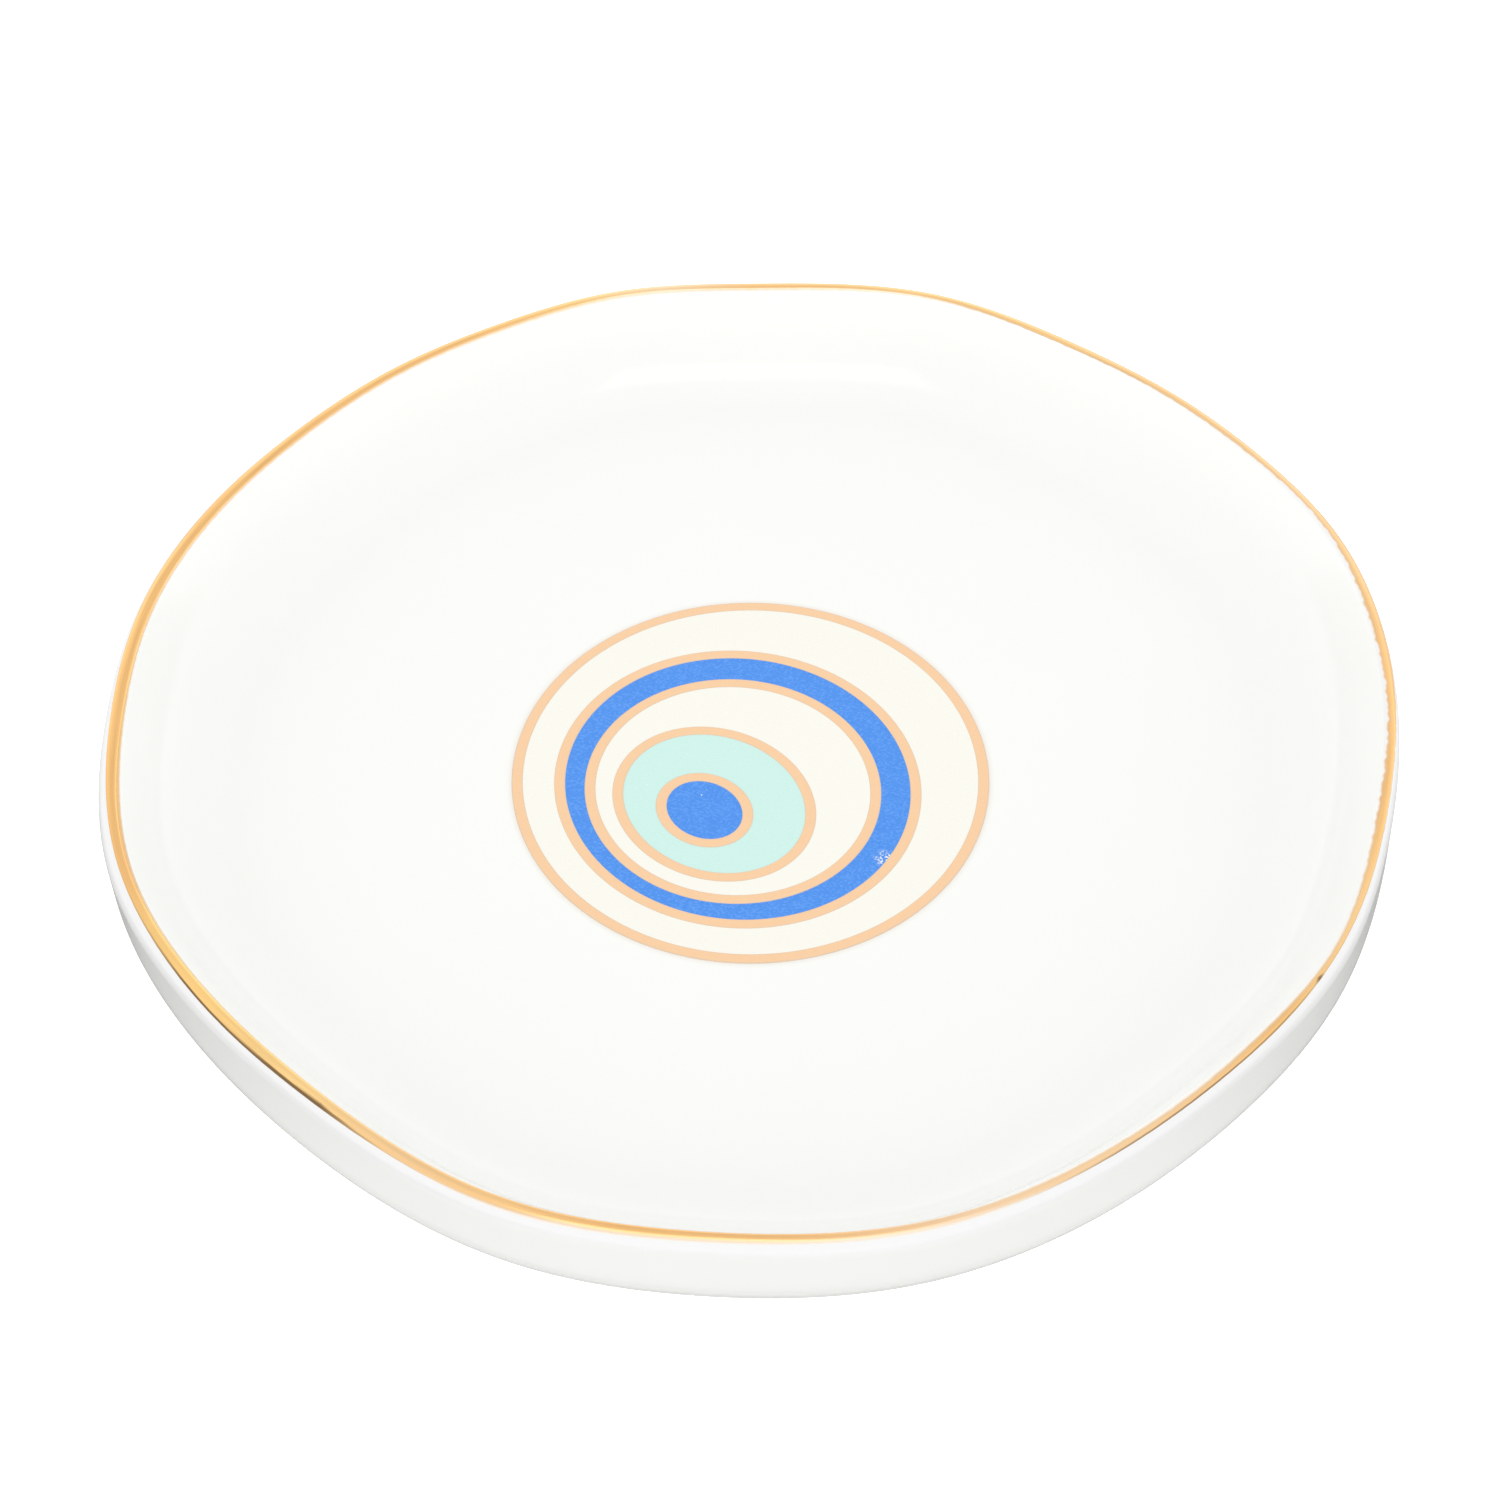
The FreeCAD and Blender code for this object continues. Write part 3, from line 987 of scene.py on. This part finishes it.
@dataclass
class BrushedGold:
    """The gold line, brushed by hand over the lip: its edges wander, and they shake most on the right.

    Attributes:
        form: The dish.
        finish: The gold's finish.
        edges: Angle round the dish, and the inner and outer edge along the lip there, in millimetres outwards
            from its crest.
        shake: Angle round the dish, and how far the inner edge shakes there, in millimetres.
        shake_cycles: Numbers of waves round the dish that make up the shaking.
        outer_shake_share: How far the outer edge shakes, as a share of the inner edge's shaking.
        inner_looks: Angle round the dish, the width in millimetres over which the inner edge thins out there,
            and how dark the thin gold is.
        outer_looks: Angle round the dish, the width in millimetres over which the outer edge thins out there,
            wider on the front as part of a painted pale highlight, how dark the painted dark reflection along
            the outer edge is, and the width of that dark line.
        dark_fade: Width in millimetres over which the dark line fades.
        painted_highlights: Angle round the dish, and how strong the painted highlight on the gold is there.
        pale_highlights: Angle round the dish, and how far the gold is mixed towards the pale tint there as a
            painted pale highlight.
        points_round: Number of points round the line.
        rows_across: Number of points across it.
        film: How far its middle stands off the glaze.
        sunk: How far its underside lies in the glaze.
        edge_sunk: How far its edges lie in the glaze, as a share of that.
        sharp_angle: Turn in degrees above which an edge is shaded sharp.
    """

    form: DishForm
    finish: GoldFinish = GoldFinish()
    edges: Table = (
        (0, 0.10, 1.18), (12, -0.08, 1.66), (24, 0.05, 1.62), (34, -0.12, 1.42), (46, -0.20, 1.34),
        (60, -0.24, 1.24), (72, -0.30, 1.18), (84, -0.41, 1.06), (98, -0.46, 1.00), (112, -0.50, 0.90),
        (130, -0.52, 1.00), (148, -0.56, 0.95), (162, -0.60, 0.98), (176, -0.65, 0.92),
        (190, -0.91, 0.64), (204, -0.95, 0.58), (216, -0.86, 0.84), (225, -0.69, 0.89),
        (235, -0.63, 0.80), (246, -0.46, 0.85), (256, -0.46, 0.84), (266, -0.38, 0.78),
        (276, -0.44, 0.72), (286, -0.27, 0.70), (300, -0.13, 0.67), (312, -0.03, 0.74),
        (320, -0.11, 0.75), (330, 0.02, 0.66), (342, -0.13, 0.83), (350, -0.14, 0.92),
    )
    shake: Table = (
        (0, 0.07), (12, 0.06), (22, 0.06), (32, 0.035), (50, 0.02), (90, 0.015), (180, 0.012),
        (270, 0.012), (318, 0.012), (334, 0.015), (348, 0.05),
    )
    shake_cycles: tuple[int, ...] = (97, 163, 241, 389)
    outer_shake_share: float = 0.35
    inner_looks: Table = (
        (0, 0.36, 0.15), (20, 0.30, 0.15), (40, 0.25, 0.16), (52, 0.20, 0.20), (60, 0.12, 0.35),
        (67, 0.20, 0.15), (75, 0.35, 0.00), (110, 0.40, 0.00), (125, 0.35, 0.05), (140, 0.30, 0.18),
        (160, 0.32, 0.12), (185, 0.35, 0.10), (200, 0.30, 0.12), (230, 0.32, 0.14), (250, 0.30, 0.12),
        (285, 0.28, 0.12), (300, 0.30, 0.12), (312, 0.42, 0.10), (330, 0.36, 0.14), (345, 0.34, 0.16),
    )
    # The third and fourth columns draw a painted dark reflection along the outer edge, strongest on the front
    # left.
    outer_looks: Table = (
        (0, 0.15, 0.10, 0.08), (40, 0.15, 0.05, 0.08), (60, 0.10, 0.00, 0.08), (130, 0.10, 0.00, 0.08),
        (165, 0.10, 0.10, 0.08), (190, 0.08, 0.20, 0.08), (201, 0.06, 0.20, 0.08),
        (207, 0.04, 0.55, 0.10), (213, 0.03, 0.95, 0.14), (222, 0.03, 0.95, 0.20),
        (231, 0.03, 0.95, 0.30), (235, 0.03, 0.60, 0.15), (238, 0.06, 0.20, 0.10),
        (246, 0.25, 0.10, 0.08), (254, 0.45, 0.05, 0.08), (290, 0.40, 0.05, 0.08),
        (296, 0.12, 0.30, 0.08), (302, 0.04, 0.70, 0.10), (312, 0.03, 0.80, 0.10),
        (322, 0.03, 0.60, 0.10), (326.4, 0.05, 0.30, 0.08), (327.1, 0.03, 0.95, 0.25),
        (327.8, 0.05, 0.25, 0.08), (335, 0.08, 0.25, 0.08), (345, 0.10, 0.30, 0.08),
    )
    dark_fade: float = 0.08
    # Painted highlight on the gold, by angle round the dish.
    painted_highlights: Table = (
        (0, 0.05), (30, 0.05), (45, 0.15), (60, 0.35), (75, 0.40), (88, 0.10), (95, 0.15), (105, 0.70),
        (114, 0.30), (122, 0.10), (190, 0.10), (201, 0.00), (206, 0.70), (216, 0.85), (228, 1.00),
        (234, 0.60), (240, 0.25), (247, 0.30), (256, 0.00), (285, 0.00), (298, 0.35), (322, 0.20),
        (331, 0.50), (340, 0.35), (350, 0.05),
    )
    # Painted pale highlight: the gold is mixed towards the pale tint at these angles.
    pale_highlights: Table = (
        (0, 0.0), (30, 0.15), (45, 0.10), (90, 0.05), (99, 0.35), (108, 0.05), (120, 0.0), (215, 0.0),
        (240, 0.17), (260, 0.0), (274, 0.06), (288, 0.36), (305, 0.24), (321, 0.00), (333, 0.14),
        (345, 0.03),
    )
    points_round: int = 1440
    rows_across: int = 17
    film: float = 0.03 * MM
    sunk: float = 0.015 * MM
    edge_sunk: float = 0.2
    sharp_angle: float = 70.0

    def build(self) -> None:
        """Build the gold line: over its top from the inner to the outer edge, and back under it."""
        shares = 0.5 - 0.5 * np.cos(np.linspace(0.0, math.pi, self.rows_across))
        between = (shares > 0.0) * (shares < 1.0)
        lifts = self.film * np.sin(math.pi * shares) ** 0.5 * between - self.edge_sunk * self.sunk
        shares = np.concatenate([shares, shares[::-1], shares[:1]])
        lifts = np.concatenate([lifts, np.full(self.rows_across, -self.sunk), lifts[:1]])
        _, inner, outer = np.mean(np.array(self.edges), axis=0)
        reaches, levels = self.form.lip_places((inner + (outer - inner) * shares) * MM, lifts)
        rings = [Ring(reach, reach, 0.0, level) for reach, level in zip(reaches, levels)]
        loft = RingLoft("brushed_gold_line", rings, self.points_round)
        line = loft.draw()
        points = loft.points(line)
        circle = np.arctan2(points[0, :, 1], points[0, :, 0])
        inner, outer = self._edges_at(circle)
        along = inner[None] + (outer - inner)[None] * shares[:, None]
        reaches, levels = self.form.lip_places(along * MM, lifts[:, None])
        flat = reaches[:, :, None] * np.stack([np.cos(circle), np.sin(circle)], axis=1)[None]
        points[:, :, :2] = flat + self.form.wave_at(np.degrees(circle))[None]
        points[:, :, 2] = levels
        loft.place(line, points)
        loft.mark(line, "across", shares[:, None])
        self._mark_looks(loft, line, np.degrees(circle), along - inner[None], outer[None] - along)
        loft.close(line, Ends.JOINED)
        smooth(line, self.sharp_angle)
        dress(line, self.finish.material())
        hand_over(line, "gold_rim_line")

    def _edges_at(self, circle: np.ndarray) -> tuple[np.ndarray, np.ndarray]:
        """Read the line's edges round the dish.

        Args:
            circle: Angles in radians.

        Returns:
            The inner and the outer edge at each angle, in millimetres along the lip.
        """
        degrees = np.degrees(circle)
        inner, outer = RoundCurve.through(self.edges).at(degrees).T
        reach = RoundCurve.through(self.shake).at(degrees)[:, 0]
        even = math.sqrt(len(self.shake_cycles))
        inner_waves = sum(np.sin(cycles * circle + cycles) for cycles in self.shake_cycles) / even
        outer_waves = sum(np.sin(cycles * circle) for cycles in self.shake_cycles) / even
        return inner + reach * inner_waves, outer + self.outer_shake_share * reach * outer_waves

    def _mark_looks(
        self,
        loft: RingLoft,
        line: bpy.types.Object,
        degrees: np.ndarray,
        inside: np.ndarray,
        outside: np.ndarray,
    ) -> None:
        """Mark where the gold is thin, dark or bright.

        Args:
            loft: The loft that drew the line.
            line: The line.
            degrees: Angle of each point round the dish.
            inside: Distance from the inner edge in millimetres, by ring and point.
            outside: Distance from the outer edge in millimetres, by ring and point.
        """
        inner_fade, thin_dark = straight_between(self.inner_looks, degrees)
        outer_fade, painted_reflection_dark, rim_width = straight_between(self.outer_looks, degrees)
        share = np.minimum(inside / inner_fade, outside / outer_fade).clip(0.0, 1.0)
        # The cover is eased at both ends, and thin gold is darkest where it covers half.
        cover_and_pale_highlight = share * share * (3.0 - 2.0 * share)
        lip_darkening = thin_dark * 4.0 * cover_and_pale_highlight * (1.0 - cover_and_pale_highlight)
        # Painted dark reflection along the outer edge.
        rim = painted_reflection_dark * (1.0 - (outside - rim_width) / self.dark_fade).clip(0.0, 1.0)
        # The painted pale highlight is folded into the cover here.
        loft.mark(line, "cover_and_pale_highlight", cover_and_pale_highlight * (1.0 - straight_between(self.pale_highlights, degrees)))
        loft.mark(line, "dark", np.maximum(lip_darkening, rim))
        # Painted highlight, read by the gold finish.
        loft.mark(line, "painted_highlight", straight_between(self.painted_highlights, degrees))


@dataclass(frozen=True)
class Oval:
    """An oval of the printed eye.

    Attributes:
        along: Half length along the gaze.
        across: Half length across it.
        shift: Place of its middle along the gaze.
    """

    along: float
    across: float
    shift: float

    def grown(self, margin: float) -> "Oval":
        """Return the oval that runs outside this one at a margin."""
        return Oval(self.along + margin, self.across + margin, self.shift)

    def ring(self, level: float) -> Ring:
        """Return the oval as a ring of a loft at a level."""
        return Ring(self.along, self.across, self.shift, level)


@dataclass
class PrintedEye:
    """The eye printed on the floor: tan outlines over fields of cream, blue and aqua.

    Attributes:
        form: The dish.
        radius: Radius of the outermost line.
        line_width: Width of the lines.
        middle: Middle of the eye.
        gaze: Direction that the eye looks in.
        oval_shares: Node of each line, its half lengths along and across the gaze, and the place of its
            middle along the gaze, as shares of the radius.
        fields: Node of each field, from the outside inwards, and its ink.
        points_round: Number of points round each oval.
        line_film: Thickness of the lines.
        field_film: Thickness of the fields.
        shoulder: Width of the shoulder along a border.
        shoulder_steps: Distance from the border in shoulders, and the share of the thickness and the share of
            the border's colour there.
        under_line: How far the fields run in under the lines.
        finishes: The finish of each ink.
    """

    form: DishForm
    radius: float = 21.05 * MM
    line_width: float = 1.02 * MM
    middle: tuple[float, float] = EYE_MIDDLE
    gaze: float = math.radians(225.0)
    oval_shares: tuple[tuple[str, float, float, float], ...] = (
        ("outer_outline", 1.0, 1.0, 0.0),
        ("blue_ring_outer_outline", 0.746, 0.779, 0.078),
        ("blue_ring_inner_outline", 0.602, 0.620, 0.107),
        ("iris_outline", 0.380, 0.441, 0.220),
        ("pupil_outline", 0.171, 0.198, 0.277),
    )
    fields: tuple[tuple[str, Ink], ...] = (
        ("outer_cream_field", Ink.CREAM),
        ("blue_ring", Ink.BLUE),
        ("inner_cream_field", Ink.CREAM),
        ("aqua_iris", Ink.AQUA),
        ("blue_pupil", Ink.BLUE),
    )
    points_round: int = 240
    line_film: float = 0.055 * MM
    field_film: float = 0.035 * MM
    shoulder: float = 0.07 * MM
    shoulder_steps: Table = (
        (0.0, 0.0, 1.0), (0.15, 0.55, 1.0), (0.5, 0.9, 1.0), (1.0, 1.0, 0.6), (2.2, 1.0, 0.0),
    )
    under_line: float = 0.08 * MM
    finishes: tuple[EnamelFinish, ...] = (
        EnamelFinish(Ink.TAN, (0.825, 0.54, 0.315), (0.785, 0.50, 0.285), (0.69, 0.515, 0.36), 0.4),
        EnamelFinish(Ink.CREAM, (0.826, 0.814, 0.742), (0.819, 0.806, 0.73), (0.82, 0.79, 0.71), 0.3),
        EnamelFinish(
            Ink.BLUE, (0.045, 0.235, 0.735), (0.105, 0.32, 0.83), (0.06, 0.22, 0.66), 0.6,
            pinhole_share=0.10,
            scuff=Scuff((11.6 * MM, -11.2 * MM, 4.43 * MM), 1.2 * MM, 0.22 * MM),
        ),
        EnamelFinish(Ink.AQUA, (0.53, 0.765, 0.705), (0.55, 0.778, 0.72), (0.50, 0.72, 0.66), 0.3),
    )

    def build(self) -> None:
        """Build the lines, and the fields between them and inside the smallest one."""
        inks = {finish.ink: finish.material() for finish in self.finishes}
        ovals = [Oval(*(share * self.radius for share in shares)) for _, *shares in self.oval_shares]
        half = self.line_width / 2.0
        for (node, *_), oval in zip(self.oval_shares, ovals):
            self._area(node, oval.grown(half), oval.grown(-half), self.line_film, inks[Ink.TAN])
        reach = half - self.under_line
        holes = [oval.grown(reach) for oval in ovals[1:]] + [None]
        for (node, ink), oval, hole in zip(self.fields, ovals, holes):
            self._area(node, oval.grown(-reach), hole, self.field_film, inks[ink])

    def _area(
        self, node: str, outside: Oval, inside: Oval | None, film: float, material: bpy.types.Material
    ) -> None:
        """Build one printed area.

        Args:
            node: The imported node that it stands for.
            outside: Its outer border.
            inside: Its inner border, or None if it has no hole.
            film: Its thickness.
            material: Its finish.
        """
        low = self.form.floor_level
        steps = [(step * self.shoulder, low + film * rise) for step, rise, _ in self.shoulder_steps]
        borders = [border for *_, border in self.shoulder_steps]
        rings = [outside.grown(-step).ring(level) for step, level in steps]
        if inside:
            rings += [inside.grown(step).ring(level) for step, level in reversed(steps)]
            rings.append(rings[0])
            borders += borders[::-1] + borders[:1]
        else:
            rings.append(Oval(outside.along / 2.0, outside.across / 2.0, outside.shift).ring(low + film))
            borders.append(0.0)
        loft = RingLoft("print_" + node, rings, self.points_round)
        area = loft.draw()
        loft.mark(area, "border", np.array(borders)[:, None])
        loft.close(area, Ends.JOINED if inside else Ends.CAPPED)
        area.rotation_euler.z = self.gaze
        area.location = (*self.middle, 0.0)
        work_on(area)
        bpy.ops.object.transform_apply(location=True, rotation=True, scale=True)
        smooth(area)
        dress(area, material)
        hand_over(area, node)


# Studio


@dataclass(frozen=True)
class Softbox:
    """A soft light that looks at the dish.

    Attributes:
        name: Its name.
        place: Where it stands.
        width: Its length along X.
        depth: Its length across that.
        power: Its power in watts.
    """

    name: str
    place: Place
    width: float
    depth: float
    power: float

    def build(self) -> None:
        """Put up the light."""
        light = bpy.data.lights.new(self.name, "AREA")
        light.shape = "RECTANGLE"
        light.size = self.width
        light.size_y = self.depth
        light.energy = self.power
        stand = bpy.data.objects.new(self.name, light)
        stand.location = self.place
        stand.rotation_euler = (-Vector(self.place)).to_track_quat("-Z", "Y").to_euler()
        bpy.context.scene.collection.objects.link(stand)


@dataclass
class Studio:
    """A pale floor, a white room, a softbox overhead and the camera.

    Attributes:
        floor_radius: Radius of the floor.
        floor_points: Number of points round it.
        floor_drop: How far it lies below the foot ring.
        floor_roughness: Its roughness.
        floor_glow: Light that it adds for the camera alone, which keeps the backdrop white.
        floor_tint: Its colour in front of the dish and behind it, as it lights the dish.
        side_shade_tint: Its darker colour beside the dish, a painted shade that it throws back on the dish.
        side_reach: Distance along X at which that colour sets in, and from which it is at its full strength.
        near_shade_tint: Darker colour that it takes on close to the dish, a painted shade like a contact
            shadow.
        near_share: How far it takes it on.
        near_reach: Distance from the middle at which that has faded, and at which it is strongest.
        front_reach: Place along Y at which these two colours set in, and in front of which they are at their
            full strength.
        room_light: Light of the room overhead.
        room_horizon: Light that the room adds at the horizon.
        horizon_power: How fast that fades upwards.
        room_front: Light that the room adds in front, and takes off at the back.
        softbox: The light overhead.
        aim: Place that the camera looks at.
        elevation: Angle at which it looks down.
        distance: Its distance from that place.
        lens: Its focal length in millimetres.
        sensor: Width of its sensor in millimetres.
        clip_start: Distance at which it starts to see.
    """

    floor_radius: float = 2.5
    floor_points: int = 128
    floor_drop: float = 0.02 * MM
    floor_roughness: float = 0.9
    floor_glow: float = 0.85
    floor_tint: Tint = (0.90, 0.90, 0.895)
    side_shade_tint: Tint = (0.40, 0.40, 0.395)
    side_reach: Limits = (35.0 * MM, 60.0 * MM)
    near_shade_tint: Tint = (0.30, 0.30, 0.295)
    near_share: float = 0.28
    near_reach: Limits = (110.0 * MM, 75.0 * MM)
    front_reach: Limits = (25.0 * MM, -15.0 * MM)
    room_light: float = 1.02
    room_horizon: float = 0.68
    horizon_power: float = 2.0
    room_front: float = 0.12
    softbox: Softbox = Softbox("overhead_softbox", (0.0, -0.17, 0.80), 0.48, 0.34, 0.46)
    aim: Place = (-0.316 * MM, 1.591 * MM, 4.4 * MM)
    elevation: float = math.radians(48.56)
    distance: float = 327.27 * MM
    lens: float = 86.4
    sensor: float = 36.0
    clip_start: float = 10.0 * MM

    def build(self) -> None:
        """Set up the floor, the room, the light and the camera."""
        scene = bpy.context.scene
        scene.view_settings.view_transform = "Standard"
        scene.view_settings.look = "None"
        self._floor()
        self._room()
        self.softbox.build()
        scene.camera = self._camera()
        LOG.info("studio with floor, room, %s and %s", self.softbox.name, scene.camera.name)

    def _floor(self) -> None:
        """Lay the plain floor under the dish."""
        bpy.ops.object.select_all(action="DESELECT")
        bpy.ops.mesh.primitive_circle_add(
            vertices=self.floor_points,
            radius=self.floor_radius,
            fill_type="NGON",
            location=(0.0, 0.0, -self.floor_drop),
        )
        floor = bpy.context.object
        floor.name = "studio_floor"
        sheet = ShaderSheet("studio_white")
        # Painted shade: the floor is darker beside the dish and close to it in front, so that it throws less
        # light on the dish; its glow keeps it white to the camera.
        aside = sheet.limits(sheet.math("ABSOLUTE", sheet.axis("X")), *self.side_reach)
        front = sheet.limits(sheet.axis("Y"), *self.front_reach)
        tint = sheet.blend(sheet.math("MULTIPLY", aside, front), self.floor_tint, self.side_shade_tint)
        near = sheet.limits(sheet.distance((0.0, 0.0, 0.0)), *self.near_reach)
        near = sheet.math("MULTIPLY", sheet.math("MULTIPLY", near, front), self.near_share)
        sheet.shade("Base Color", sheet.blend(near, tint, self.near_shade_tint))
        sheet.shade("Roughness", self.floor_roughness)
        sheet.shade("Specular IOR Level", 0.0)
        sheet.shade("Emission Color", WHITE)
        seen = sheet.output("ShaderNodeLightPath", "Is Camera Ray", {})
        sheet.shade("Emission Strength", sheet.math("MULTIPLY", seen, self.floor_glow))
        dress(floor, sheet.material)

    def _room(self) -> None:
        """Fill the room with white light that is stronger at the horizon and in front."""
        world = bpy.data.worlds.new("white_room")
        world.use_nodes = True
        sheet = NodeSheet(world.node_tree)
        direction = sheet.output("ShaderNodeTexCoord", "Generated", {})
        upwards = sheet.output("ShaderNodeSeparateXYZ", "Z", {"Vector": direction})
        low = sheet.math("SUBTRACT", 1.0, sheet.math("ABSOLUTE", upwards))
        horizon = sheet.math("MULTIPLY", sheet.math("POWER", low, self.horizon_power), self.room_horizon)
        front = sheet.math("MULTIPLY", upwards.node.outputs["Y"], -self.room_front)
        strength = sheet.math("ADD", sheet.math("ADD", horizon, front), self.room_light)
        background = world.node_tree.nodes["Background"]
        sheet.feed(background.inputs["Color"], WHITE)
        sheet.feed(background.inputs["Strength"], strength)
        bpy.context.scene.world = world

    def _camera(self) -> bpy.types.Object:
        """Place the camera at the photograph's angle.

        Returns:
            The camera.
        """
        data = bpy.data.cameras.new("photo_camera")
        data.lens = self.lens
        data.sensor_width = self.sensor
        data.clip_start = self.clip_start
        camera = bpy.data.objects.new("photo_camera", data)
        back = Vector((0.0, -math.cos(self.elevation), math.sin(self.elevation)))
        camera.location = Vector(self.aim) + back * self.distance
        camera.rotation_euler = (-back).to_track_quat("-Z", "Y").to_euler()
        bpy.context.scene.collection.objects.link(camera)
        return camera


def main() -> None:
    """Build the dressed dish and its studio."""
    logging.basicConfig(level=logging.INFO, format="%(message)s")
    form = DishForm()
    for part in (PorcelainFoot(), GlazedDish(form), BrushedGold(form), PrintedEye(form), Studio()):
        part.build()


if __name__ == "__main__":
    main()
